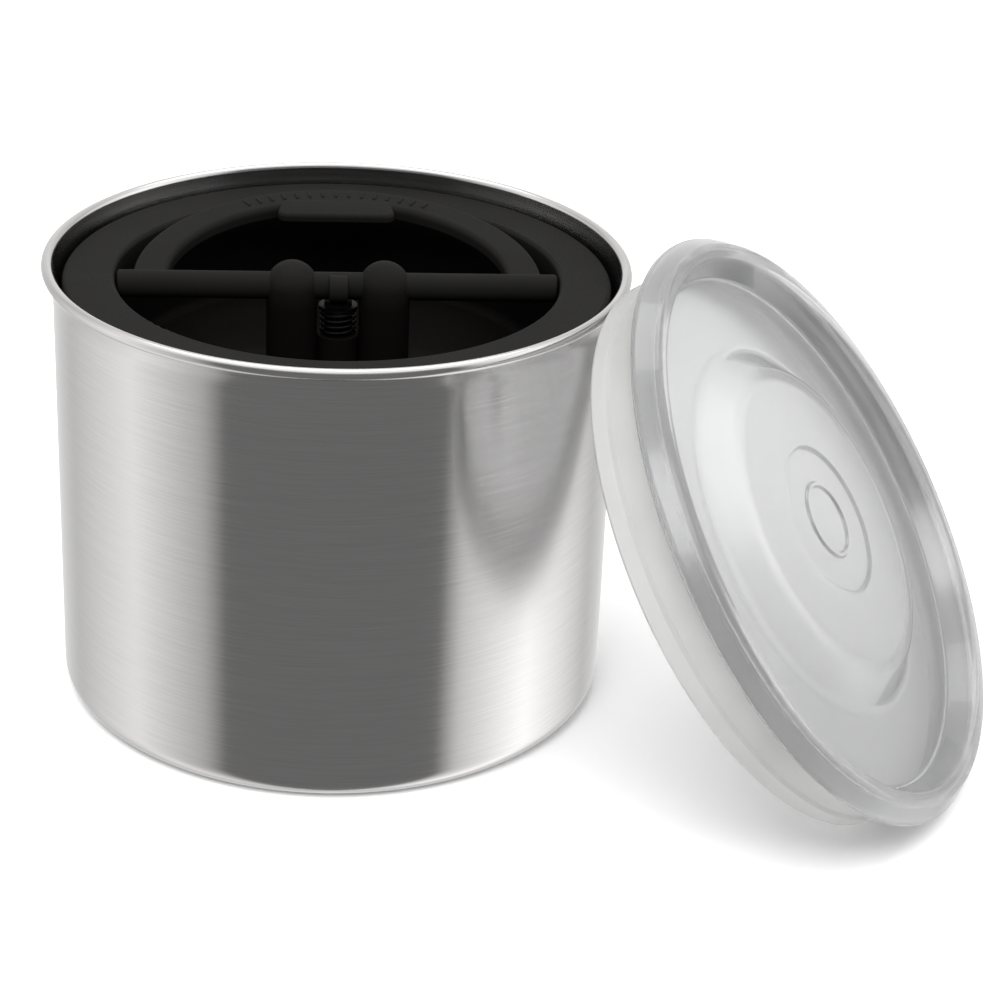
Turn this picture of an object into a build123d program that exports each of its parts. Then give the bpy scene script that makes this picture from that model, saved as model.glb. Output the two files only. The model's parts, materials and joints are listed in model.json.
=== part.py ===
"""Steel food canister with a push-down inner lid and a loose outer lid.

Millimetres, +Z up. The origin is the centre of the canister's underside. The inner lid stands just
under the rim with its handle folded down. The outer lid leans against the rim on the +X side.
"""

import os
from math import cos, radians, sin

from build123d import *

# Canister: one drawn sheet with a rolled rim
HEIGHT = 100.0
WALL_R = 61.2
SHEET = 0.6
BASE_CORNER_R = 4.7
RIM_R = 63.5
CURL_R = 1.2
CURL_SWEEP = 290.0
FLARE_H = 5.0

# Inner lid: a dished plunger, turned a little from the X axis
LID_TURN = 1.3
FLANGE_Z = 96.0
FLANGE_R = 59.2
RECESS_R = 48.1
RECESS_DRAFT = 1.0
FLOOR_Z = 74.0
DISH_WALL = 2.2
SKIRT_Z = 62.0
SKIRT_WALL = 4.0
SEAT_R = 18.5
SEAT_Z = 70.0
GUARD_RING_R = 24.2
GUARD_RING_WALL = 2.0
GUARD_TOP_Z = 64.0
GROOVE_TOP_Z = 72.0
GROOVE_BOTTOM_Z = 66.0
GROOVE_DEPTH = 1.8

# Gasket: a soft ring with a low and a high lip
GASKET_LIP_R = 60.45
GASKET_LIP_H = 0.5
GASKET_LIP_IN = 0.9
GASKET_LIP_ROOT = 1.9
GASKET_BACK_GAP = 0.1
GASKET_END_GAP = 0.15

# Handle: a round bar, a flat arc behind it and a thumb tab
BAR_Z = 93.0
BAR_R = 3.0
BAR_HALF = 47.6
ARC_R = 44.3
ARC_BAND = 7.5
ARC_THICK = 3.2
ARC_RISE = 5.4
ARC_TOP_Z = 95.5
ARC_ROUND = 0.6
TAB_WIDTH = 27.0
TAB_EDGE_Y = 29.6
TAB_PROUD = 0.4
TAB_THICK = 1.8
TAB_ROUND = 0.3
CAM_OFFSET = 2.0
CAM_WIDTH = 4.0

# Pivot posts that carry the bar
POST_X = 10.0
POST_R = 5.6
SADDLE_LENGTH = 40.0
SADDLE_WIDTH = 14.0
SADDLE_THICK = 1.5
RUNNING_GAP = 0.05
SCREW_Y = 4.1
SCREW_R = 0.8
SCREW_HEAD_R = 1.6
SCREW_HEAD_H = 1.2
SCREW_TIP_Z = 94.6

# Vent valve on the inner lid's axis
STEM_R = 3.0
STEM_TOP_Z = 89.5
STEM_HEAD_R = 5.0
STEM_HEAD_H = 1.4
GUIDE_R = 4.0
GUIDE_RECESS = 0.3
GUIDE_COLLAR_R = 4.5
GUIDE_COLLAR_H = 8.0
GUIDE_COLLAR_GAP = 0.2
VENT_PCD_R = 12.5
VENT_R = 1.8
VENT_ANGLES = (55, 90, 125, 235, 270, 305)
DISC_R = 15.5
DISC_H = 2.0
WASHER_R = 16.2
WASHER_H = 1.2
SEAT_GAP = 0.05
SPRING_R = 3.75
SPRING_WIRE_R = 0.3
SPRING_PITCH = 1.3
CLIP_Z = 87.9
CLIP_H = 0.8
CLIP_R = 4.2
CLIP_NECK_R = 2.6
GUARD_H = 1.6
GUARD_SLOTS = 8

# Outer lid: heights are measured from the plane of its flange
COVER_R = 65.9
COVER_LIP = 1.6
COVER_UNDERSIDE = -2.0
COVER_CREST_R = 61.7
COVER_CREST = 3.4
COVER_CREST_HALF = 0.9
COVER_CREST_DROP = 0.6
COVER_CHANNEL = -3.0
COVER_CHANNEL_R = 56.6
COVER_CHANNEL_CORNER = 1.5
COVER_SLOPE = 9.0
COVER_PANEL = 2.6
COVER_PANEL_R = 33.0
COVER_HUB_R = 16.7
COVER_HUB_DEPTH = 0.5
COVER_RING_R = 8.7
COVER_RING_WALL = 1.5
COVER_RING_H = 0.5
COVER_WALL = 1.4
SEAL_TOP = 0.2
SEAL_ROOT_R = 59.4
SEAL_TONGUE_R = 62.2
SEAL_TONGUE_WALL = 0.7
SEAL_SHOULDER_R = 63.7
SEAL_SHOULDER_TOP = -2.1
SEAL_SHOULDER_H = 1.1
SEAL_NECK = -4.2
SEAL_WALL_R = 61.0
SEAL_WALL = 1.6
SEAL_LIP_R = 61.7
SEAL_LIP_H = 4.0
SEAL_LIP_CHAMFER = 0.7
SEAL_DEPTH = 14.9

# Outer lid's lean: azimuth of the lean plane, and how far its top face looks up
LEAN_AZIMUTH = -23.0
LEAN_TILT = 35.2
LEAN_GAP = 0.15

# Worked out from the values above
INNER_R = WALL_R - SHEET
CURL_X = RIM_R - CURL_R
CURL_Z = HEIGHT - CURL_R
VALVE_DISC_TOP = SEAT_Z - SEAT_GAP - WASHER_H
VALVE_DISC_BOTTOM = VALVE_DISC_TOP - DISC_H
BORE_R = STEM_R + 0.06

# The lean touches the floor with the seal's lowest lip corner and the rim's curl with its end face
tilt = radians(LEAN_TILT)
lean_height = SEAL_LIP_R * cos(tilt) + (SEAL_DEPTH - SEAL_LIP_CHAMFER) * sin(tilt)
lean_reach = (
    CURL_X * cos(tilt) + (CURL_Z - lean_height) * sin(tilt) + CURL_R + LEAN_GAP + SEAL_DEPTH
) / cos(tilt)

lid_frame = Plane(
    origin=(0, 0, 0),
    x_dir=(cos(radians(LID_TURN)), sin(radians(LID_TURN)), 0),
    z_dir=(0, 0, 1),
)
lid_section = Plane(origin=(0, 0, 0), x_dir=lid_frame.x_dir, z_dir=-lid_frame.y_dir)
lid_side = Plane(origin=(0, 0, 0), x_dir=lid_frame.y_dir, z_dir=lid_frame.x_dir)

lean_azimuth = radians(LEAN_AZIMUTH)
lean_centre = Vector(
    lean_reach * cos(lean_azimuth), lean_reach * sin(lean_azimuth), lean_height
)
lean_normal = Vector(
    cos(tilt) * cos(lean_azimuth), cos(tilt) * sin(lean_azimuth), sin(tilt)
)
lean_side = Vector(-sin(lean_azimuth), cos(lean_azimuth), 0)
lean_section = Plane(origin=lean_centre, x_dir=lean_normal.cross(lean_side), z_dir=lean_side)
lean_axis = Axis(lean_centre, lean_normal)


def level(height):
    """The inner lid's horizontal plane at a height."""
    return lid_frame.offset(height)


def save(part, name):
    """Labels one finished piece and writes it."""
    part.label = name
    export_step(part, f"parts/{name}.step")


os.makedirs("parts", exist_ok=True)


# Canister body: flat base, rounded corner, straight wall, flared mouth and a curl rolled outwards
curl_end = radians(180 - CURL_SWEEP)
curl_mid = radians(180 - CURL_SWEEP / 2)


def on_curl(radius, angle):
    return (CURL_X + radius * cos(angle), CURL_Z + radius * sin(angle))


with BuildPart() as canister_body:
    with BuildSketch(Plane.XZ):
        with BuildLine():
            Line((0, 0), (WALL_R - BASE_CORNER_R, 0))
            RadiusArc((WALL_R - BASE_CORNER_R, 0), (WALL_R, BASE_CORNER_R), -BASE_CORNER_R)
            Line((WALL_R, BASE_CORNER_R), (WALL_R, CURL_Z - FLARE_H))
            Line((WALL_R, CURL_Z - FLARE_H), on_curl(CURL_R - SHEET, radians(180)))
            ThreePointArc(
                on_curl(CURL_R - SHEET, radians(180)),
                on_curl(CURL_R - SHEET, curl_mid),
                on_curl(CURL_R - SHEET, curl_end),
            )
            Line(on_curl(CURL_R - SHEET, curl_end), on_curl(CURL_R, curl_end))
            ThreePointArc(
                on_curl(CURL_R, curl_end),
                on_curl(CURL_R, curl_mid),
                on_curl(CURL_R, radians(180)),
            )
            Line(on_curl(CURL_R, radians(180)), (INNER_R, CURL_Z - FLARE_H))
            Line((INNER_R, CURL_Z - FLARE_H), (INNER_R, BASE_CORNER_R))
            RadiusArc(
                (INNER_R, BASE_CORNER_R),
                (WALL_R - BASE_CORNER_R, SHEET),
                BASE_CORNER_R - SHEET,
            )
            Line((WALL_R - BASE_CORNER_R, SHEET), (0, SHEET))
            Line((0, SHEET), (0, 0))
        make_face()
    revolve(axis=Axis.Z)
save(canister_body.part, "canister_body")


# Inner lid dish: flange, deep recess, skirt with a gasket groove, valve seat,
# vent holes and a ring that holds the guard
groove_r = FLANGE_R - GROOVE_DEPTH
with BuildPart() as inner_lid_dish:
    with BuildSketch(lid_section):
        with BuildLine():
            Polyline(
                (GUIDE_R, FLOOR_Z),
                (RECESS_R - RECESS_DRAFT, FLOOR_Z),
                (RECESS_R, FLANGE_Z),
                (FLANGE_R, FLANGE_Z),
                (FLANGE_R, GROOVE_TOP_Z),
                (groove_r, GROOVE_TOP_Z),
                (groove_r, GROOVE_BOTTOM_Z),
                (FLANGE_R, GROOVE_BOTTOM_Z),
                (FLANGE_R, SKIRT_Z),
                (FLANGE_R - SKIRT_WALL, SKIRT_Z),
                (FLANGE_R - SKIRT_WALL, FLANGE_Z - DISH_WALL),
                (RECESS_R + DISH_WALL, FLANGE_Z - DISH_WALL),
                (RECESS_R - RECESS_DRAFT + DISH_WALL, FLOOR_Z - DISH_WALL),
                (GUARD_RING_R, FLOOR_Z - DISH_WALL),
                (GUARD_RING_R, GUARD_TOP_Z),
                (GUARD_RING_R - GUARD_RING_WALL, GUARD_TOP_Z),
                (GUARD_RING_R - GUARD_RING_WALL, FLOOR_Z - DISH_WALL),
                (SEAT_R, FLOOR_Z - DISH_WALL),
                (SEAT_R, SEAT_Z),
                (GUIDE_R, SEAT_Z),
                close=True,
            )
        make_face()
    revolve(axis=Axis.Z)
    circles = inner_lid_dish.edges().filter_by(GeomType.CIRCLE)

    def rings(radius, height):
        return circles.filter_by(
            lambda edge: abs(edge.radius - radius) < 0.01 and abs(edge.center().Z - height) < 0.01
        )

    fillet(rings(RECESS_R, FLANGE_Z) + rings(FLANGE_R, FLANGE_Z), 1.0)
    circles = inner_lid_dish.edges().filter_by(GeomType.CIRCLE)
    fillet(rings(RECESS_R - RECESS_DRAFT, FLOOR_Z), 2.0)
    with BuildSketch(level(SEAT_Z)):
        for angle in VENT_ANGLES:
            with Locations((VENT_PCD_R * cos(radians(angle)), VENT_PCD_R * sin(radians(angle)))):
                Circle(VENT_R)
        with GridLocations(2 * POST_X, 2 * SCREW_Y, 2, 2):
            Circle(SCREW_R + RUNNING_GAP)
    extrude(amount=FLOOR_Z - SEAT_Z, mode=Mode.SUBTRACT)
    with BuildSketch(level(SEAT_Z)):
        with GridLocations(2 * POST_X, 2 * SCREW_Y, 2, 2):
            Circle(SCREW_HEAD_R + RUNNING_GAP)
    extrude(amount=SCREW_HEAD_H + 0.1, mode=Mode.SUBTRACT)
save(inner_lid_dish.part, "inner_lid_dish")


# Gasket: a soft ring in the groove with two thin lips towards the canister's wall
gasket_r = groove_r + GASKET_BACK_GAP
gasket_low = GROOVE_BOTTOM_Z + GASKET_END_GAP
gasket_high = GROOVE_TOP_Z - GASKET_END_GAP
low_lip = GROOVE_BOTTOM_Z + GASKET_LIP_IN
high_lip = GROOVE_TOP_Z - GASKET_LIP_IN
with BuildPart() as inner_lid_gasket:
    with BuildSketch(lid_section):
        with BuildLine():
            Polyline(
                (gasket_r, gasket_low),
                (FLANGE_R - 2 * GASKET_END_GAP, gasket_low),
                (GASKET_LIP_R, low_lip),
                (GASKET_LIP_R, low_lip + GASKET_LIP_H),
                (FLANGE_R, GROOVE_BOTTOM_Z + GASKET_LIP_ROOT),
                (FLANGE_R, high_lip - GASKET_LIP_H - GASKET_LIP_IN),
                (GASKET_LIP_R, high_lip - GASKET_LIP_H),
                (GASKET_LIP_R, high_lip),
                (FLANGE_R - 2 * GASKET_END_GAP, gasket_high),
                (gasket_r, gasket_high),
                close=True,
            )
        make_face()
    revolve(axis=Axis.Z)
save(inner_lid_gasket.part, "inner_lid_gasket")


# Handle: one moulding, the bar lies along the lid's X axis and the arc rises gently to the back
arc_slope = radians(ARC_RISE)
arc_plane = Plane(
    origin=(0, 0, ARC_TOP_Z),
    x_dir=lid_frame.x_dir,
    z_dir=Vector(0, 0, cos(arc_slope)) - lid_frame.y_dir * sin(arc_slope),
)
with BuildPart() as handle:
    with BuildSketch(arc_plane):
        Circle(ARC_R)
        Circle(ARC_R - ARC_BAND, mode=Mode.SUBTRACT)
        with Locations((0, -ARC_R)):
            Rectangle(2 * ARC_R, 2 * ARC_R, mode=Mode.SUBTRACT)
    extrude(amount=-ARC_THICK)
    arc_edges = handle.faces().sort_by(Axis((0, 0, 0), arc_plane.z_dir))[-1].edges().filter_by(GeomType.CIRCLE)
    fillet(arc_edges, ARC_ROUND)
    with BuildSketch(arc_plane.offset(TAB_PROUD)):
        with Locations((0, (TAB_EDGE_Y + ARC_R - ARC_BAND) / 2 + 1)):
            RectangleRounded(TAB_WIDTH, ARC_R - ARC_BAND - TAB_EDGE_Y + 2, 2.5)
    extrude(amount=-TAB_THICK)
    tab_edges = handle.edges().filter_by(Axis((0, 0, 0), lid_frame.x_dir))
    tab_edges = tab_edges.filter_by(lambda edge: edge.center().Z > ARC_TOP_Z + ARC_THICK / 2)
    fillet(tab_edges.sort_by(Axis((0, 0, 0), lid_frame.y_dir))[:1], TAB_ROUND)
    with BuildSketch(lid_side.offset(-BAR_HALF)):
        with Locations((0, BAR_Z)):
            Circle(BAR_R)
    extrude(amount=2 * BAR_HALF)
    with BuildSketch(lid_side.offset(-CAM_WIDTH / 2)):
        with Locations((-CAM_OFFSET, BAR_Z)):
            Circle(BAR_R)
    extrude(amount=CAM_WIDTH)
save(handle.part, "handle")


# Pivot saddle: a base plate with two posts that cradle the lower half of the bar
with BuildPart() as pivot_saddle:
    with BuildSketch(level(FLOOR_Z)):
        RectangleRounded(SADDLE_LENGTH, SADDLE_WIDTH, 3)
    extrude(amount=SADDLE_THICK)
    with BuildSketch(level(FLOOR_Z)):
        with GridLocations(2 * POST_X, 1, 2, 1):
            Circle(POST_R)
    extrude(amount=BAR_Z - FLOOR_Z)
    with BuildSketch(level(FLOOR_Z)):
        Circle(GUIDE_COLLAR_R + GUIDE_COLLAR_GAP)
    extrude(amount=STEM_TOP_Z - FLOOR_Z, mode=Mode.SUBTRACT)
    with BuildSketch(level(FLOOR_Z)):
        with GridLocations(2 * POST_X, 2 * SCREW_Y, 2, 2):
            Circle(SCREW_R + RUNNING_GAP)
    extrude(amount=BAR_Z - FLOOR_Z, mode=Mode.SUBTRACT)
    with BuildSketch(lid_side.offset(-SADDLE_LENGTH / 2)):
        with Locations((0, BAR_Z)):
            Circle(BAR_R + RUNNING_GAP)
    extrude(amount=SADDLE_LENGTH, mode=Mode.SUBTRACT)
save(pivot_saddle.part, "pivot_saddle")


# Pivot caps: domes that close the posts over the bar
for name, side in (("left_pivot_cap", -1), ("right_pivot_cap", 1)):
    with BuildPart() as pivot_cap:
        with BuildSketch(lid_section):
            with BuildLine():
                Line((0, BAR_Z), (POST_R, BAR_Z))
                RadiusArc((POST_R, BAR_Z), (0, BAR_Z + POST_R), -POST_R)
                Line((0, BAR_Z + POST_R), (0, BAR_Z))
            make_face()
        revolve(axis=Axis.Z)
        with BuildSketch(level(BAR_Z)):
            with GridLocations(1, 2 * SCREW_Y, 1, 2):
                Circle(SCREW_R + RUNNING_GAP)
        extrude(amount=SCREW_TIP_Z - BAR_Z + 0.2, mode=Mode.SUBTRACT)
        with BuildSketch(lid_side.offset(-POST_R)):
            with Locations((0, BAR_Z)):
                Circle(BAR_R + RUNNING_GAP)
        extrude(amount=2 * POST_R, mode=Mode.SUBTRACT)
    save(pivot_cap.part.moved(Location(lid_frame.x_dir * side * POST_X)), name)


# Cap screws: four of one size, from under the valve seat up into the caps
screw_head_z = SEAT_Z + 0.05
with BuildPart() as cap_screws:
    with BuildSketch(level(screw_head_z)):
        with GridLocations(2 * POST_X, 2 * SCREW_Y, 2, 2):
            Circle(SCREW_HEAD_R)
    extrude(amount=SCREW_HEAD_H)
    with BuildSketch(level(screw_head_z)):
        with GridLocations(2 * POST_X, 2 * SCREW_Y, 2, 2):
            Circle(SCREW_R)
    extrude(amount=SCREW_TIP_Z - screw_head_z)
    with BuildSketch(level(screw_head_z)):
        with GridLocations(2 * POST_X, 2 * SCREW_Y, 2, 2):
            RegularPolygon(SCREW_R, 6)
    extrude(amount=SCREW_HEAD_H / 2, mode=Mode.SUBTRACT)
save(cap_screws.part, "cap_screws")


# Valve guide: a stepped bush in the middle of the floor with a tall collar under the spring
with BuildPart() as valve_guide:
    with BuildSketch(level(SEAT_Z + GUIDE_RECESS)):
        Circle(GUIDE_R)
    extrude(amount=FLOOR_Z - SEAT_Z - GUIDE_RECESS)
    with BuildSketch(level(FLOOR_Z)):
        Circle(GUIDE_COLLAR_R)
    extrude(amount=GUIDE_COLLAR_H)
    with BuildSketch(level(SEAT_Z)):
        Circle(BORE_R)
    extrude(amount=FLOOR_Z + GUIDE_COLLAR_H - SEAT_Z, mode=Mode.SUBTRACT)
save(valve_guide.part, "valve_guide")


# Valve stem: a rod with a head below the disc and a neck for the spring clip
with BuildPart() as valve_stem:
    with BuildSketch(lid_section):
        with BuildLine():
            Polyline(
                (0, VALVE_DISC_BOTTOM - STEM_HEAD_H),
                (STEM_HEAD_R, VALVE_DISC_BOTTOM - STEM_HEAD_H),
                (STEM_HEAD_R, VALVE_DISC_BOTTOM),
                (STEM_R, VALVE_DISC_BOTTOM),
                (STEM_R, CLIP_Z),
                (CLIP_NECK_R, CLIP_Z),
                (CLIP_NECK_R, CLIP_Z + CLIP_H),
                (STEM_R, CLIP_Z + CLIP_H),
                (STEM_R, STEM_TOP_Z),
                (0, STEM_TOP_Z),
                close=True,
            )
        make_face()
    revolve(axis=Axis.Z)
save(valve_stem.part, "valve_stem")


# Valve disc and its soft washer, under the seat
with BuildPart() as valve_disc:
    with BuildSketch(level(VALVE_DISC_BOTTOM)):
        Circle(DISC_R)
        Circle(STEM_R, mode=Mode.SUBTRACT)
    extrude(amount=DISC_H)
    fillet(valve_disc.faces().sort_by(Axis.Z)[0].outer_wire().edges(), 0.8)
save(valve_disc.part, "valve_disc")

with BuildPart() as valve_washer:
    with BuildSketch(level(VALVE_DISC_TOP)):
        Circle(WASHER_R)
        Circle(STEM_R, mode=Mode.SUBTRACT)
    extrude(amount=WASHER_H)
save(valve_washer.part, "valve_washer")


# Spring clip: a split ring in the stem's neck
with BuildPart() as spring_clip:
    with BuildSketch(level(CLIP_Z)):
        Circle(CLIP_R)
        Circle(CLIP_NECK_R, mode=Mode.SUBTRACT)
        with Locations((0, -CLIP_R)):
            Rectangle(CLIP_NECK_R, 2 * CLIP_R, mode=Mode.SUBTRACT)
    extrude(amount=CLIP_H)
save(spring_clip.part, "spring_clip")


# Valve spring: a helix between the guide's collar and the clip
spring_foot = FLOOR_Z + GUIDE_COLLAR_H + SPRING_WIRE_R + 0.05
spring_height = CLIP_Z - SPRING_WIRE_R - 0.05 - spring_foot
with BuildPart() as valve_spring:
    with BuildLine() as coil:
        Helix(pitch=SPRING_PITCH, height=spring_height, radius=SPRING_R, center=(0, 0, spring_foot))
    with BuildSketch(Plane(coil.line @ 0, z_dir=coil.line % 0)):
        Circle(SPRING_WIRE_R)
    sweep(path=coil.line, is_frenet=True)
save(valve_spring.part, "valve_spring")


# Valve guard: a slotted plate that keeps the food off the valve, with a spigot in the guard ring
spigot_r = GUARD_RING_R - GUARD_RING_WALL - 0.1
with BuildPart() as valve_guard:
    with BuildSketch(level(GUARD_TOP_Z)):
        Circle(GUARD_RING_R)
    extrude(amount=-GUARD_H)
    with BuildSketch(level(GUARD_TOP_Z)):
        Circle(spigot_r)
        Circle(spigot_r - 1.5, mode=Mode.SUBTRACT)
    extrude(amount=2.0)
    with BuildSketch(level(GUARD_TOP_Z)):
        Circle(STEM_HEAD_R + 1)
        with PolarLocations((STEM_HEAD_R + spigot_r) / 2 + 0.5, GUARD_SLOTS):
            SlotOverall(spigot_r - STEM_HEAD_R - 5, 3)
    extrude(amount=-GUARD_H, mode=Mode.SUBTRACT)
    fillet(valve_guard.faces().sort_by(Axis.Z)[0].outer_wire().edges(), 0.6)
save(valve_guard.part, "valve_guard")


# Outer lid cover: stepped clear disc with a raised rim, a channel, a centre panel and a hub ring
hub_floor = COVER_PANEL - COVER_HUB_DEPTH
ring_floor_r = COVER_RING_R - COVER_RING_WALL
ring_slope = 0.4
hub_slope = 0.8
slope_end = COVER_PANEL_R + COVER_SLOPE
channel_back = COVER_CHANNEL - COVER_WALL
corner_top = COVER_CHANNEL + 0.6 * COVER_CHANNEL_CORNER
crest_side = COVER_CREST - COVER_CREST_DROP
crest_in = COVER_CREST_R - COVER_CREST_HALF
crest_out = COVER_CREST_R + COVER_CREST_HALF
with BuildPart() as outer_lid_cover:
    with BuildSketch(lean_section):
        with BuildLine():
            Polyline(
                (0, hub_floor),
                (ring_floor_r, hub_floor),
                (ring_floor_r + ring_slope, hub_floor + COVER_RING_H),
                (COVER_RING_R - ring_slope, hub_floor + COVER_RING_H),
                (COVER_RING_R, hub_floor),
                (COVER_HUB_R - hub_slope, hub_floor),
                (COVER_HUB_R, COVER_PANEL),
                (COVER_PANEL_R, COVER_PANEL),
            )
            Spline(
                (COVER_PANEL_R, COVER_PANEL),
                (slope_end, COVER_CHANNEL),
                tangents=((1, 0), (1, 0)),
            )
            Line((slope_end, COVER_CHANNEL), (COVER_CHANNEL_R, COVER_CHANNEL))
            RadiusArc(
                (COVER_CHANNEL_R, COVER_CHANNEL),
                (COVER_CHANNEL_R + 1.3, corner_top),
                -COVER_CHANNEL_CORNER,
            )
            Line((COVER_CHANNEL_R + 1.3, corner_top), (crest_in, crest_side))
            ThreePointArc(
                (crest_in, crest_side),
                (COVER_CREST_R, COVER_CREST),
                (crest_out, crest_side),
            )
            Line((crest_out, crest_side), (COVER_R - 0.5, -0.4))
            ThreePointArc(
                (COVER_R - 0.5, -0.4), (COVER_R, -1.2), (COVER_R - 0.6, COVER_UNDERSIDE)
            )
            Polyline(
                (COVER_R - 0.6, COVER_UNDERSIDE),
                (COVER_R - COVER_LIP, COVER_UNDERSIDE),
                (COVER_CREST_R + 0.2, crest_side - COVER_WALL - 0.1),
                (SEAL_ROOT_R - 0.4, channel_back),
                (slope_end - 0.8, channel_back),
                (COVER_PANEL_R - 0.8, COVER_PANEL - COVER_WALL),
                (0, hub_floor - COVER_WALL),
                (0, hub_floor),
            )
        make_face()
    revolve(axis=lean_axis)
save(outer_lid_cover.part, "outer_lid_cover")


# Outer lid seal: a soft ring under the rim with a thicker lip at its free end
lip_top = SEAL_LIP_H - SEAL_DEPTH
seal_inner_r = SEAL_WALL_R - SEAL_WALL
with BuildPart() as outer_lid_seal:
    with BuildSketch(lean_section):
        with BuildLine():
            Polyline(
                (SEAL_ROOT_R, SEAL_NECK + 0.2),
                (SEAL_TONGUE_R - SEAL_TONGUE_WALL, SEAL_TOP),
                (SEAL_TONGUE_R, SEAL_TOP),
                (SEAL_SHOULDER_R, SEAL_SHOULDER_TOP),
                (SEAL_SHOULDER_R, SEAL_SHOULDER_TOP - SEAL_SHOULDER_H),
                (SEAL_WALL_R, SEAL_NECK),
                (SEAL_WALL_R, lip_top + SEAL_LIP_CHAMFER),
                (SEAL_LIP_R, lip_top),
                (SEAL_LIP_R, SEAL_LIP_CHAMFER - SEAL_DEPTH),
                (SEAL_LIP_R - SEAL_LIP_CHAMFER, -SEAL_DEPTH),
                (seal_inner_r + 0.5, -SEAL_DEPTH),
                (seal_inner_r, lip_top),
                close=True,
            )
        make_face()
    revolve(axis=lean_axis)
save(outer_lid_seal.part, "outer_lid_seal")
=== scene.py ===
import json
from math import ceil, cos, pi, radians, sin, tan

import bmesh
import bpy
from mathutils import Matrix, Vector


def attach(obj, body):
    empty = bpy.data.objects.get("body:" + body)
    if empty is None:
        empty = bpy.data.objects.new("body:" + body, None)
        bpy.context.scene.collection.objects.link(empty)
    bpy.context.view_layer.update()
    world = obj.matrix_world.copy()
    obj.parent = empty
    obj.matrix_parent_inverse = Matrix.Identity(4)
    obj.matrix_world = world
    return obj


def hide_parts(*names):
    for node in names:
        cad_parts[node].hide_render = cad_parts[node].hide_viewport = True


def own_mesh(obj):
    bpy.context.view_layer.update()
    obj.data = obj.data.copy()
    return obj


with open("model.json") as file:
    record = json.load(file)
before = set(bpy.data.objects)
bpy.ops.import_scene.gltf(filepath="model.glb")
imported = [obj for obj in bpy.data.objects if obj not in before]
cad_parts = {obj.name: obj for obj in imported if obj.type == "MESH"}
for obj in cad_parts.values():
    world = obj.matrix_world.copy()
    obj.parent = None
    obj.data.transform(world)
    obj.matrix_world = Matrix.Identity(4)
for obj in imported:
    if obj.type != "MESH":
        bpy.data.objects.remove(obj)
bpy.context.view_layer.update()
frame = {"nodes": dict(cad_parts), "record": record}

MM = 0.001
SHARP_ANGLE = 40

# Canister
HEIGHT = 100.0
WALL_R = 61.2
SHEET = 0.6
BASE_CORNER_R = 4.7
RIM_R = 63.5
CURL_R = 1.2
CURL_SWEEP = 290.0
FLARE_H = 5.0

# Inner lid
LID_TURN = 1.3
FLANGE_Z = 96.0

# Handle
BAR_Z = 93.0
BAR_R = 3.0
BAR_HALF = 47.6
ARC_R = 44.3
ARC_BAND = 7.5
ARC_THICK = 3.2
ARC_RISE = 5.4
ARC_TOP_Z = 95.5
TAB_WIDTH = 27.0
TAB_EDGE_Y = 29.6
TAB_PROUD = 0.4
TAB_THICK = 1.8
TAB_TUCK = 1.2
CAM_OFFSET = 2.0
CAM_WIDTH = 4.0
RIDGE_COUNT = 15
RIDGE_STEP = 4.2
RIDGE_INSET = 3.1
RIDGE_LENGTH = 2.8
RIDGE_WIDTH = 0.7

# Painted shade on black below the flange: full colour at the upper height, darkest painted shade at
# the lower
SHADE_START_Z = FLANGE_Z - 1
SHADE_DEEPEST_Z = BAR_Z - 4

# Valve spring, under the stem's clip
SPRING_FOOT_Z = 82.05
SPRING_TOP_Z = 87.85
SPRING_R = 3.75
SPRING_WIRE_R = 0.3
SPRING_PITCH = 1.3
SPRING_SIDES = 12
SPRING_STEPS_PER_TURN = 48

# Outer lid, with heights from its flange plane
COVER_R = 65.9
COVER_CREST_R = 61.7
COVER_CREST = 3.4
COVER_CHANNEL = -3.0
COVER_PANEL = 2.6
COVER_PANEL_R = 33.0
COVER_WALL = 1.4
SEAL_LIP_R = 61.7
SEAL_WALL_R = 61.0
SEAL_DEPTH = 14.9
LEAN_AZIMUTH = -23.0
LEAN_TILT = 35.2
LEAN_GAP = 0.15

# Camera, at the studied view of the object
CAMERA_PLACE = (0.0, -527.9, 299.45)
CAMERA_YAW = 4.043
CAMERA_PITCH = 25.956
CAMERA_ROLL = 2.657
CAMERA_LENS = 93.46
CAMERA_SENSOR = 36.0

# Studio surround, as plain panels: bearings from the front, towards +X where positive
FRONT_CARD_EDGE = 45
FRONT_CARD = 0.2
LEFT_PANEL_BEARING = -90
LEFT_PANEL = 1.2
RIGHT_PANEL_BEARING = 90
RIGHT_PANEL = 1.7
BACK_CORNER_BEARING = 135
BACK_CORNER = 0.7
BACK_PANEL = 1.0
CARD_FADE = 10
SURROUND = (
    (-180, BACK_PANEL),
    (-BACK_CORNER_BEARING, BACK_CORNER),
    (LEFT_PANEL_BEARING, LEFT_PANEL),
    (-FRONT_CARD_EDGE - CARD_FADE, LEFT_PANEL / 2),
    (-FRONT_CARD_EDGE, FRONT_CARD),
    (FRONT_CARD_EDGE, FRONT_CARD),
    (FRONT_CARD_EDGE + CARD_FADE, RIGHT_PANEL / 2),
    (RIGHT_PANEL_BEARING, RIGHT_PANEL),
    (BACK_CORNER_BEARING, BACK_CORNER),
    (180, BACK_PANEL),
)
RAMP_GAIN = 2  # a ramp's colours stop at 1, so it holds brightness divided by this

# Overhead light, which takes over from the panels as a direction's Z goes from start to full
OVERHEAD = 1.4
OVERHEAD_START = 0.55
OVERHEAD_FULL = 0.9

# Floor and lights, in metres and watts
FLOOR_HALF = 6.0
LIGHT_AIM = (0.03, 0.0, 0.05)
TOP_LIGHT_PLACE = (0.0, 0.35, 1.0)
TOP_LIGHT_SIZE = (0.9, 0.5)
TOP_LIGHT_POWER = 2.0
FRONT_LIGHT_PLACE = (0.0, -0.65, 0.95)
FRONT_LIGHT_SIZE = (0.9, 0.6)
FRONT_LIGHT_POWER = 12.0


# ---------------------------------------------------------------- places

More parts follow.
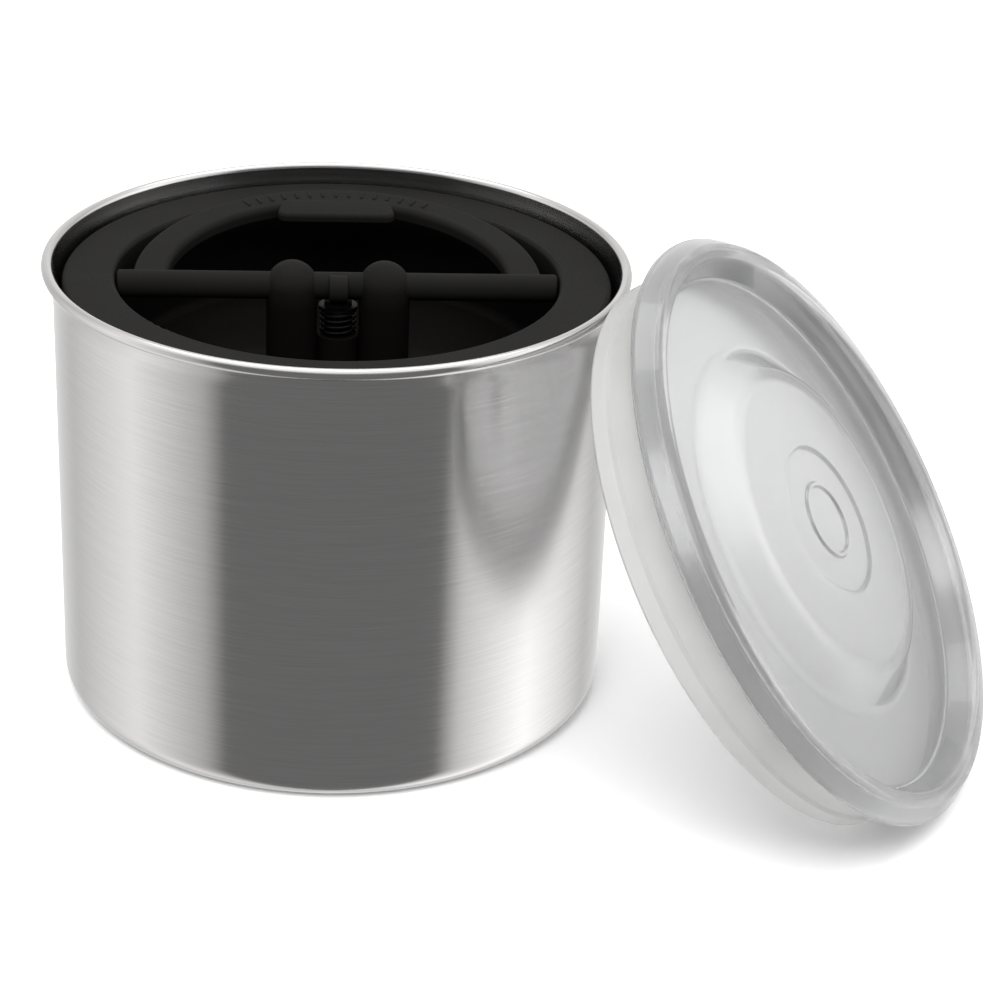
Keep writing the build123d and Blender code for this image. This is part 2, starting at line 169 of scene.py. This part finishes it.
turned = Matrix.Rotation(radians(LID_TURN), 4, "Z")

tilt = radians(LEAN_TILT)
lean_azimuth = radians(LEAN_AZIMUTH)
lean_height = SEAL_LIP_R * cos(tilt) + (SEAL_DEPTH - 0.7) * sin(tilt)
lean_reach = (
    (RIM_R - CURL_R) * cos(tilt)
    + (HEIGHT - CURL_R - lean_height) * sin(tilt)
    + CURL_R
    + LEAN_GAP
    + SEAL_DEPTH
) / cos(tilt)
leaning = (
    Matrix.Rotation(lean_azimuth, 4, "Z")
    @ Matrix.Translation((lean_reach * MM, 0, lean_height * MM))
    @ Matrix.Rotation(pi / 2 - tilt, 4, "Y")
)
arc_place = (
    turned
    @ Matrix.Translation((0, 0, ARC_TOP_Z * MM))
    @ Matrix.Rotation(radians(ARC_RISE), 4, "X")
)
bar_place = turned @ Matrix.Translation((0, 0, BAR_Z * MM)) @ Matrix.Rotation(pi / 2, 4, "Y")


# ---------------------------------------------------------------- mesh tools


def rounded(points, closed=True, step=12):
    """A profile of (x, y, radius) corners with each corner turned into an arc of its radius."""
    out = []
    count = len(points)
    for i, (x, y, radius) in enumerate(points):
        if radius == 0 or (not closed and i in (0, count - 1)):
            out.append((x, y))
            continue
        here = Vector((x, y))
        before = (Vector(points[i - 1][:2]) - here).normalized()
        after = (Vector(points[(i + 1) % count][:2]) - here).normalized()
        half = before.angle(after) / 2
        reach = radius / tan(half)
        middle = here + (before + after).normalized() * (radius / sin(half))
        start = here + before * reach - middle
        end = here + after * reach - middle
        turn = pi - 2 * half
        steps = max(2, ceil(turn / radians(step)))
        side = 1 if start.x * end.y - start.y * end.x > 0 else -1
        for k in range(steps + 1):
            angle = side * turn * k / steps
            out.append(
                (
                    middle.x + start.x * cos(angle) - start.y * sin(angle),
                    middle.y + start.x * sin(angle) + start.y * cos(angle),
                )
            )
    return out


def supported(profile, closed=True, margin=0.15):
    """The profile with a point near each end of its long runs, so that flats shade flat."""
    out = []
    count = len(profile)
    for i, point in enumerate(profile):
        out.append(point)
        if not closed and i == count - 1:
            break
        a = Vector(point)
        b = Vector(profile[(i + 1) % count])
        length = (b - a).length
        if length > 5 * margin:
            way = (b - a) * (margin / length)
            out.append(tuple(a + way))
            out.append(tuple(b - way))
    return out


def new_object(name, bm, place=None):
    """A smooth-shaded object from a bmesh in millimetres, put in place in metres."""
    bmesh.ops.scale(bm, vec=(MM, MM, MM), verts=bm.verts)
    if place is not None:
        bmesh.ops.transform(bm, matrix=place, verts=bm.verts)
    bmesh.ops.recalc_face_normals(bm, faces=bm.faces)
    mesh = bpy.data.meshes.new(name)
    bm.to_mesh(mesh)
    bm.free()
    for face in mesh.polygons:
        face.use_smooth = True
    mesh.set_sharp_from_angle(angle=radians(SHARP_ANGLE))
    obj = bpy.data.objects.new(name, mesh)
    bpy.context.scene.collection.objects.link(obj)
    return obj


def lathe_bm(profile, segments=192, start=0.0, sweep=360.0):
    """Turns a closed profile of (radius, height) about Z, all round or through a sweep."""
    bm = bmesh.new()
    full = sweep >= 360
    rows = []
    turns = segments if full else segments + 1
    poles = {}
    for i in range(turns):
        angle = radians(start + sweep * i / segments)
        row = []
        for j, (r, z) in enumerate(profile):
            if abs(r) < 1e-6:
                if j not in poles:
                    poles[j] = bm.verts.new((0, 0, z))
                row.append(poles[j])
            else:
                row.append(bm.verts.new((r * cos(angle), r * sin(angle), z)))
        rows.append(row)
    count = len(profile)
    for i in range(segments):
        a, b = rows[i], rows[(i + 1) % turns]
        for j in range(count):
            k = (j + 1) % count
            corners = []
            for vert in (a[j], a[k], b[k], b[j]):
                if vert not in corners:
                    corners.append(vert)
            if len(corners) > 2:
                bm.faces.new(corners)
    if not full:
        bm.faces.new(rows[0])
        bm.faces.new(rows[-1])
    return bm


def lathe(name, corners, place=None, segments=192, start=0.0, sweep=360.0):
    """A turned piece from a closed profile of (radius, height, corner radius)."""
    profile = supported(rounded(corners))
    return new_object(name, lathe_bm(profile, segments, start, sweep), place)


def slab_bm(outline, low, high, bevel, steps=5):
    """A prism over a convex outline with its upper edge rounded."""
    bm = bmesh.new()
    count = len(outline)
    normals = []
    for i in range(count):
        before = Vector(outline[i]) - Vector(outline[i - 1])
        after = Vector(outline[(i + 1) % count]) - Vector(outline[i])
        a = Vector((before.y, -before.x)).normalized()
        b = Vector((after.y, -after.x)).normalized()
        normal = (a + b).normalized()
        normals.append(normal / max(normal.dot(a), 0.3))
    levels = [(0, low), (0, high - bevel)]
    for k in range(1, steps + 1):
        angle = pi / 2 * k / steps
        levels.append((bevel * (1 - cos(angle)), high - bevel + bevel * sin(angle)))
    rows = []
    for inset, z in levels:
        row = []
        for point, normal in zip(outline, normals):
            row.append(bm.verts.new((point[0] - normal.x * inset, point[1] - normal.y * inset, z)))
        rows.append(row)
    for a, b in zip(rows, rows[1:]):
        for i in range(count):
            bm.faces.new((a[i], a[(i + 1) % count], b[(i + 1) % count], b[i]))
    bm.faces.new(rows[0])
    bm.faces.new(rows[-1])
    return bm


# ---------------------------------------------------------------- material tools


class Graph:
    """Short calls for building one node material."""

    def __init__(self, name):
        self.material = bpy.data.materials.new(name)
        self.material.use_nodes = True
        self.nodes = self.material.node_tree.nodes
        self.links = self.material.node_tree.links
        self.shader = self.nodes["Principled BSDF"]

    def add(self, kind, **values):
        node = self.nodes.new(kind)
        for key, value in values.items():
            setattr(node, key, value)
        return node

    def link(self, out, into):
        self.links.new(out, into)

    def set(self, **values):
        """Constants straight on the shader's sockets, with _ for a space in a socket's name."""
        for key, value in values.items():
            self.shader.inputs[key.replace("_", " ")].default_value = value

    def place(self, scale):
        """Object coordinates stretched by scale, in lengths per metre along X, Y and Z."""
        coords = self.add("ShaderNodeTexCoord")
        mapping = self.add("ShaderNodeMapping")
        mapping.inputs["Scale"].default_value = scale
        self.link(coords.outputs["Object"], mapping.inputs["Vector"])
        return mapping.outputs["Vector"]

    def noise(self, scale, detail=3.0, roughness=0.5):
        node = self.add("ShaderNodeTexNoise")
        node.inputs["Scale"].default_value = 1.0
        node.inputs["Detail"].default_value = detail
        node.inputs["Roughness"].default_value = roughness
        self.link(self.place(scale), node.inputs["Vector"])
        return node.outputs["Fac"]

    def spread(self, value, low, high, start=0.35, end=0.65):
        """Maps a noise value to the range low to high."""
        node = self.add("ShaderNodeMapRange")
        node.inputs["From Min"].default_value = start
        node.inputs["From Max"].default_value = end
        node.inputs["To Min"].default_value = low
        node.inputs["To Max"].default_value = high
        self.link(value, node.inputs["Value"])
        return node.outputs["Result"]

    def math(self, operation, a, b):
        node = self.add("ShaderNodeMath", operation=operation)
        for socket, value in zip(node.inputs, (a, b)):
            if isinstance(value, (int, float)):
                socket.default_value = value
            else:
                self.link(value, socket)
        return node.outputs["Value"]

    def tint(self, value, dark, light):
        node = self.add("ShaderNodeMix", data_type="RGBA")
        node.inputs["A"].default_value = (*dark, 1)
        node.inputs["B"].default_value = (*light, 1)
        self.link(value, node.inputs["Factor"])
        self.link(node.outputs["Result"], self.shader.inputs["Base Color"])

    def rough(self, value):
        self.link(value, self.shader.inputs["Roughness"])

    def bump(self, height, strength, distance):
        node = self.add("ShaderNodeBump")
        node.inputs["Strength"].default_value = strength
        node.inputs["Distance"].default_value = distance
        self.link(height, node.inputs["Height"])
        self.link(node.outputs["Normal"], self.shader.inputs["Normal"])


def brushed_steel():
    """Drawn stainless steel with a fine brush grain that runs round the wall."""
    g = Graph("brushed_steel_look")
    g.set(Metallic=1.0, Anisotropic=0.9, Anisotropic_Rotation=0.25)
    tangent = g.add("ShaderNodeTangent", direction_type="RADIAL", axis="Z")
    g.link(tangent.outputs["Tangent"], g.shader.inputs["Tangent"])
    fine = g.noise((70, 70, 9000), detail=2)
    broad = g.noise((9, 9, 1400), detail=2)
    cloud = g.noise((18, 18, 18), detail=2)
    grain = g.math("ADD", g.math("MULTIPLY", fine, 0.85), g.math("MULTIPLY", broad, 0.15))
    g.tint(g.spread(grain, 0, 1), (0.585, 0.575, 0.57), (0.65, 0.64, 0.635))
    g.rough(g.math("ADD", g.spread(grain, 0.14, 0.18), g.spread(cloud, -0.01, 0.01)))
    g.bump(grain, 0.05, 0.00003)
    return g.material


def black_plastic(name, paints_shade):
    """Matte black moulding with a fine spark texture, darkened by painted shade below the flange if
    asked.
    """
    g = Graph(name)
    g.set(IOR=1.46, Specular_IOR_Level=0.05)
    grit = g.noise((3200, 3200, 3200), detail=3, roughness=0.6)
    cloud = g.noise((60, 60, 60), detail=4)
    tone_and_shade = g.spread(cloud, 0.8, 1.0)
    # Painted shade: the base colour darkens with height below the flange, standing in for the shade
    # in the recess
    if paints_shade:
        height = g.add("ShaderNodeSeparateXYZ")
        g.link(g.place((1, 1, 1)), height.inputs["Vector"])
        painted_shade = g.spread(height.outputs["Z"], 0.1, 1, SHADE_DEEPEST_Z * MM, SHADE_START_Z * MM)
        tone_and_shade = g.math("MULTIPLY", tone_and_shade, painted_shade)
    # Dark end of the tint: random tone, plus painted recess shade where it is asked for
    g.tint(tone_and_shade, (0.0035, 0.0028, 0.0026), (0.0100, 0.0096, 0.0092))
    g.rough(g.spread(grit, 0.54, 0.66))
    g.bump(grit, 0.3, 0.0001)
    return g.material


def gasket_rubber():
    """Soft black rubber, smoother than the mouldings."""
    g = Graph("gasket_rubber_look")
    g.set(IOR=1.43, Specular_IOR_Level=0.45)
    cloud = g.noise((90, 90, 90), detail=3)
    grit = g.noise((1800, 1800, 1800), detail=2)
    g.tint(g.spread(cloud, 0, 1), (0.016, 0.016, 0.017), (0.024, 0.024, 0.025))
    g.rough(g.spread(grit, 0.34, 0.48))
    g.bump(grit, 0.2, 0.00005)
    return g.material


def clear_plastic():
    """Hazy translucent moulding with a polished skin and faint flow waves."""
    g = Graph("clear_plastic_look")
    g.set(IOR=1.44, Transmission_Weight=0.8, Coat_Weight=0.6, Coat_Roughness=0.03, Coat_IOR=1.5)
    flow = g.noise((16, 16, 16), detail=0)
    g.tint(g.spread(flow, 0, 1, 0, 1), (0.535, 0.536, 0.54), (0.565, 0.566, 0.57))
    g.rough(g.spread(flow, 0.17, 0.25, 0, 1))
    g.bump(flow, 0.2, 0.0006)
    return g.material


def milky_plastic():
    """Soft translucent ring, hazier than the cover."""
    g = Graph("milky_plastic_look")
    g.set(IOR=1.45, Transmission_Weight=0.5)
    cloud = g.noise((45, 45, 45), detail=4)
    grit = g.noise((1500, 1500, 1500), detail=2)
    g.tint(g.spread(cloud, 0, 1), (0.54, 0.54, 0.535), (0.59, 0.59, 0.585))
    g.rough(g.spread(grit, 0.36, 0.48))
    g.bump(grit, 0.15, 0.00005)
    return g.material


def spring_steel():
    """Wire and screws with a faint drawn grain, darkened to near black as painted shade for the
    shade between the posts.
    """
    g = Graph("spring_steel_look")
    g.set(Metallic=1.0)
    drawn = g.noise((1200, 1200, 5000), detail=3)
    # Near-black colour: painted shade, standing in for the shade between the posts
    g.tint(g.spread(drawn, 0, 1), (0.02, 0.02, 0.021), (0.035, 0.035, 0.036))
    g.rough(g.spread(drawn, 0.42, 0.55))
    g.bump(drawn, 0.2, 0.00003)
    return g.material


looks = {
    "brushed_steel": brushed_steel(),
    "black_plastic": black_plastic("black_plastic_look", False),
    "gasket_rubber": gasket_rubber(),
    "clear_plastic": clear_plastic(),
    "milky_plastic": milky_plastic(),
    "spring_steel": spring_steel(),
}
# Black with painted shade below the flange, for the black CAD nodes
shaded_black = black_plastic("painted_shade_black_look", True)


def finish_piece(obj, body, slot, *nodes):
    """Gives a piece the look of its slot and its body, and hides the CAD nodes it stands for."""
    obj.data.materials.clear()
    obj.data.materials.append(looks[slot])
    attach(obj, body)
    if nodes:
        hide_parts(*nodes)
    return obj


# ---------------------------------------------------------------- canister


def curl_points(radius, backwards=False, steps=28):
    """Points of the rolled rim, from the mouth's side over the top and under."""
    points = []
    for k in range(steps + 1):
        share = 1 - k / steps if backwards else k / steps
        angle = radians(180 - CURL_SWEEP * share)
        points.append(
            (RIM_R - CURL_R + radius * cos(angle), HEIGHT - CURL_R + radius * sin(angle))
        )
    return points


def flare_points(radius_from, radius_to, upwards, steps=8):
    """An S-curve from the straight wall out to the curl."""
    low = HEIGHT - CURL_R - FLARE_H
    points = []
    for k in range(1, steps):
        share = k / steps if upwards else 1 - k / steps
        ease = share * share * (3 - 2 * share)
        points.append((radius_from + (radius_to - radius_from) * ease, low + FLARE_H * share))
    return points


def make_canister():
    """The drawn sheet as one turned shell: up outside, round the rolled rim, down inside."""
    inner = WALL_R - SHEET
    mouth_out = RIM_R - 2 * CURL_R + SHEET
    low = HEIGHT - CURL_R - FLARE_H
    foot = supported(
        rounded(
            [
                (0, 0, 0),
                (WALL_R, 0, BASE_CORNER_R),
                (WALL_R, low, 0),
            ],
            closed=False,
            step=6,
        ),
        closed=False,
        margin=0.4,
    )
    bowl = supported(
        rounded(
            [
                (inner, low, 0),
                (inner, SHEET, BASE_CORNER_R - SHEET),
                (0, SHEET, 0),
            ],
            closed=False,
            step=6,
        ),
        closed=False,
        margin=0.4,
    )
    profile = (
        foot
        + flare_points(WALL_R, mouth_out, upwards=True)
        + curl_points(CURL_R - SHEET)
        + curl_points(CURL_R, backwards=True)
        + flare_points(inner, RIM_R - 2 * CURL_R, upwards=False)
        + bowl
    )
    obj = new_object("steel_body", lathe_bm(profile, segments=360))
    return finish_piece(obj, "canister", "brushed_steel", "canister_body")


make_canister()


# ---------------------------------------------------------------- inner lid


def make_ridge(bearing):
    """One low rib across the arc's upper face, at a bearing from its middle."""
    ring = ARC_R - RIDGE_INSET
    x, y = RIDGE_WIDTH / 2, RIDGE_LENGTH / 2
    outline = rounded([(-x, -y, 0.3), (x, -y, 0.3), (x, y, 0.3), (-x, y, 0.3)], step=30)
    spot = Matrix.Rotation(radians(-bearing), 4, "Z") @ Matrix.Translation((0, ring * MM, 0))
    solid = slab_bm(outline, -0.5, 0.22, 0.12, steps=3)
    rib = new_object("handle_ridge", solid, arc_place @ spot)
    finish_piece(rib, "handle", "black_plastic")


def make_handle():
    """The folded handle: bar, half-round arc, thumb tab, ridges and valve cam."""
    bar = lathe(
        "handle_bar",
        [
            (0, -BAR_HALF, 0),
            (BAR_R, -BAR_HALF, 0.6),
            (BAR_R, BAR_HALF, 0.6),
            (0, BAR_HALF, 0),
        ],
        bar_place,
        segments=64,
    )
    finish_piece(bar, "handle", "black_plastic", "handle")
    arc = lathe(
        "handle_arc",
        [
            (ARC_R - ARC_BAND, -ARC_THICK, 0.6),
            (ARC_R, -ARC_THICK, 0.5),
            (ARC_R, 0, 0.9),
            (ARC_R - ARC_BAND, 0, 1.3),
        ],
        arc_place,
        segments=128,
        start=0,
        sweep=180,
    )
    finish_piece(arc, "handle", "black_plastic")
    half = TAB_WIDTH / 2
    back = ARC_R - ARC_BAND + TAB_TUCK
    outline = rounded(
        [
            (-half, TAB_EDGE_Y, 2.2),
            (half, TAB_EDGE_Y, 2.2),
            (half - 1, back, 1.5),
            (-half + 1, back, 1.5),
        ],
        step=12,
    )
    plate = slab_bm(outline, TAB_PROUD - TAB_THICK, TAB_PROUD - 0.1, 0.9, steps=8)
    tab = new_object("handle_tab", plate, arc_place)
    finish_piece(tab, "handle", "black_plastic")
    for number in range(RIDGE_COUNT):
        make_ridge(RIDGE_STEP * (number - RIDGE_COUNT // 2))
    cam = lathe(
        "handle_cam",
        [
            (0, -CAM_WIDTH / 2, 0),
            (BAR_R, -CAM_WIDTH / 2, 0.3),
            (BAR_R, CAM_WIDTH / 2, 0.3),
            (0, CAM_WIDTH / 2, 0),
        ],
        turned
        @ Matrix.Translation((0, -CAM_OFFSET * MM, BAR_Z * MM))
        @ Matrix.Rotation(pi / 2, 4, "Y"),
        segments=64,
    )
    finish_piece(cam, "handle", "black_plastic")


def make_spring():
    """A round-wire coil, hung on the plunger's body."""
    length = SPRING_TOP_Z - SPRING_FOOT_Z
    rise = length - 2 * SPRING_WIRE_R
    steps = ceil(SPRING_STEPS_PER_TURN * rise / SPRING_PITCH)
    bm = bmesh.new()
    rows = []
    for i in range(steps + 1):
        angle = 2 * pi * rise / SPRING_PITCH * i / steps
        z = SPRING_FOOT_Z + SPRING_WIRE_R + rise * i / steps
        row = []
        for k in range(SPRING_SIDES):
            around = 2 * pi * k / SPRING_SIDES
            r = SPRING_R + SPRING_WIRE_R * cos(around)
            lift = SPRING_WIRE_R * sin(around)
            row.append(bm.verts.new((r * cos(angle), r * sin(angle), z + lift)))
        rows.append(row)
    for a, b in zip(rows, rows[1:]):
        for k in range(SPRING_SIDES):
            after = (k + 1) % SPRING_SIDES
            bm.faces.new((a[k], a[after], b[after], b[k]))
    bm.faces.new(rows[0])
    bm.faces.new(rows[-1])
    coil = new_object("coil_spring", bm)
    spring = finish_piece(coil, "plunger", "spring_steel", "valve_spring")
    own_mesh(spring)


make_handle()
make_spring()


# ---------------------------------------------------------------- outer lid


def make_cover():
    """The stepped translucent disc, with corners given from its hub outwards and back."""
    hub = COVER_PANEL - 0.5
    channel_back = COVER_CHANNEL - COVER_WALL
    panel_end = COVER_PANEL_R + 9
    corners = [
        (0, hub, 0),
        (7.2, hub, 0.3),
        (7.6, hub + 0.5, 0.2),
        (8.3, hub + 0.5, 0.2),
        (8.7, hub, 0.3),
        (15.9, hub, 0.8),
        (16.7, COVER_PANEL, 0.8),
        (COVER_PANEL_R + 1, COVER_PANEL, 4.0),
        (panel_end - 1, COVER_CHANNEL, 4.0),
        (57.4, COVER_CHANNEL, 1.2),
        (COVER_CREST_R - 1.5, COVER_CREST, 1.6),
        (COVER_CREST_R + 1.1, COVER_CREST, 1.6),
        (COVER_R, -0.6, 0.6),
        (COVER_R, -2.0, 0.5),
        (COVER_R - 1.6, -2.0, 0.3),
        (COVER_CREST_R + 0.2, 1.4, 0.3),
        (59.0, channel_back, 0.6),
        (panel_end - 2, channel_back, 4.0),
        (COVER_PANEL_R - 0.2, COVER_PANEL - COVER_WALL, 4.0),
        (0, hub - COVER_WALL + 0.2, 0),
    ]
    obj = lathe("clear_cover", corners, leaning, segments=256)
    return finish_piece(obj, "outer_lid", "clear_plastic", "outer_lid_cover")


def make_seal():
    """The soft ring under the cover's rim: a shoulder, a straight wall and a lip at its foot."""
    corners = [
        (59.4, -4.0, 0.2),
        (61.5, 0.2, 0.2),
        (62.2, 0.2, 0.2),
        (63.7, -2.1, 0.3),
        (63.7, -3.2, 0.4),
        (SEAL_WALL_R, -4.2, 0.3),
        (SEAL_WALL_R, -SEAL_DEPTH + 4.7, 0.3),
        (SEAL_LIP_R, -SEAL_DEPTH + 4.0, 0.3),
        (SEAL_LIP_R, -SEAL_DEPTH + 0.7, 0.3),
        (SEAL_LIP_R - 0.5, -SEAL_DEPTH, 0.25),
        (SEAL_WALL_R - 1.1, -SEAL_DEPTH, 0.4),
        (SEAL_WALL_R - 1.6, -SEAL_DEPTH + 4.0, 0.8),
    ]
    obj = lathe("milky_seal", corners, leaning, segments=256)
    return finish_piece(obj, "outer_lid", "milky_plastic", "outer_lid_seal")


make_cover()
make_seal()


# ---------------------------------------------------------------- CAD nodes that stay

slots = {row["node"]: row["material_slot"] for row in frame["record"]["subparts"]}
for node_name, node in frame["nodes"].items():
    slot = slots[node_name]
    node.data.materials.clear()
    # Black CAD nodes get the black with painted shade below the flange
    node.data.materials.append(shaded_black if slot == "black_plastic" else looks[slot])


# ---------------------------------------------------------------- stage


def make_floor():
    """A plain pale floor that reflections don't show."""
    bm = bmesh.new()
    bmesh.ops.create_grid(bm, x_segments=1, y_segments=1, size=FLOOR_HALF)
    mesh = bpy.data.meshes.new("floor")
    bm.to_mesh(mesh)
    bm.free()
    floor = bpy.data.objects.new("floor", mesh)
    bpy.context.scene.collection.objects.link(floor)
    g = Graph("floor_paper")
    g.set(Specular_IOR_Level=0.0, Roughness=1.0, Emission_Color=(1, 1, 1, 1), Emission_Strength=0.1)
    fibre = g.noise((30, 30, 30), detail=3)
    g.tint(g.spread(fibre, 0, 1), (0.93, 0.93, 0.93), (0.95, 0.95, 0.95))
    mesh.materials.append(g.material)
    floor.visible_glossy = False


def make_world():
    """Soft studio surround: bright at both sides and overhead, dark towards the front."""
    world = bpy.data.worlds.new("studio")
    bpy.context.scene.world = world
    world.use_nodes = True
    nodes, links = world.node_tree.nodes, world.node_tree.links
    nodes.clear()

    def math(operation, a, b=0.0):
        node = nodes.new("ShaderNodeMath")
        node.operation = operation
        for socket, value in zip(node.inputs, (a, b)):
            if isinstance(value, (int, float)):
                socket.default_value = value
            else:
                links.new(value, socket)
        return node.outputs["Value"]

    way = nodes.new("ShaderNodeSeparateXYZ")
    links.new(nodes.new("ShaderNodeTexCoord").outputs["Generated"], way.inputs["Vector"])
    turn = math("ARCTAN2", way.outputs["X"], math("MULTIPLY", way.outputs["Y"], -1.0))
    turn = math("ADD", math("DIVIDE", turn, 2 * pi), 0.5)
    ramp = nodes.new("ShaderNodeValToRGB")
    elements = ramp.color_ramp.elements
    while len(elements) < len(SURROUND):
        elements.new(0.5)
    for element, (bearing, value) in zip(elements, SURROUND):
        element.position = bearing / 360 + 0.5
        level = value / RAMP_GAIN
        element.color = (level, level, level, 1)
    links.new(turn, ramp.inputs["Fac"])
    round_light = math("MULTIPLY", ramp.outputs["Color"], RAMP_GAIN)
    lift = nodes.new("ShaderNodeMapRange")
    lift.interpolation_type = "SMOOTHSTEP"
    lift.inputs["From Min"].default_value = OVERHEAD_START
    lift.inputs["From Max"].default_value = OVERHEAD_FULL
    links.new(way.outputs["Z"], lift.inputs["Value"])
    mix = nodes.new("ShaderNodeMix")
    mix.data_type = "FLOAT"
    links.new(lift.outputs["Result"], mix.inputs["Factor"])
    links.new(round_light, mix.inputs["A"])
    mix.inputs["B"].default_value = OVERHEAD
    back = nodes.new("ShaderNodeBackground")
    links.new(mix.outputs["Result"], back.inputs["Color"])
    out = nodes.new("ShaderNodeOutputWorld")
    links.new(back.outputs["Background"], out.inputs["Surface"])


def make_camera():
    """The camera at the studied view, set as the scene's own."""
    data = bpy.data.cameras.new("view")
    data.lens = CAMERA_LENS
    data.sensor_width = CAMERA_SENSOR
    data.clip_start = 0.01
    data.clip_end = 20.0
    camera = bpy.data.objects.new("view", data)
    bpy.context.scene.collection.objects.link(camera)
    aim = (
        Matrix.Rotation(-radians(CAMERA_YAW), 4, "Z")
        @ Matrix.Rotation(pi / 2 - radians(CAMERA_PITCH), 4, "X")
        @ Matrix.Rotation(radians(CAMERA_ROLL), 4, "Z")
    )
    camera.matrix_world = Matrix.Translation(Vector(CAMERA_PLACE) * MM) @ aim
    bpy.context.scene.camera = camera


def make_light(name, place, size, power):
    """A soft rectangular light that faces the object."""
    data = bpy.data.lights.new(name, "AREA")
    data.shape = "RECTANGLE"
    data.size, data.size_y = size
    data.energy = power
    light = bpy.data.objects.new(name, data)
    bpy.context.scene.collection.objects.link(light)
    light.location = place
    light.rotation_euler = (Vector(LIGHT_AIM) - Vector(place)).to_track_quat("-Z", "Y").to_euler()
    return light


make_floor()
make_world()
make_camera()
make_light("top_softbox", TOP_LIGHT_PLACE, TOP_LIGHT_SIZE, TOP_LIGHT_POWER)
fill = make_light("front_softbox", FRONT_LIGHT_PLACE, FRONT_LIGHT_SIZE, FRONT_LIGHT_POWER)
fill.visible_glossy = False
bpy.context.scene.view_settings.view_transform = "Standard"
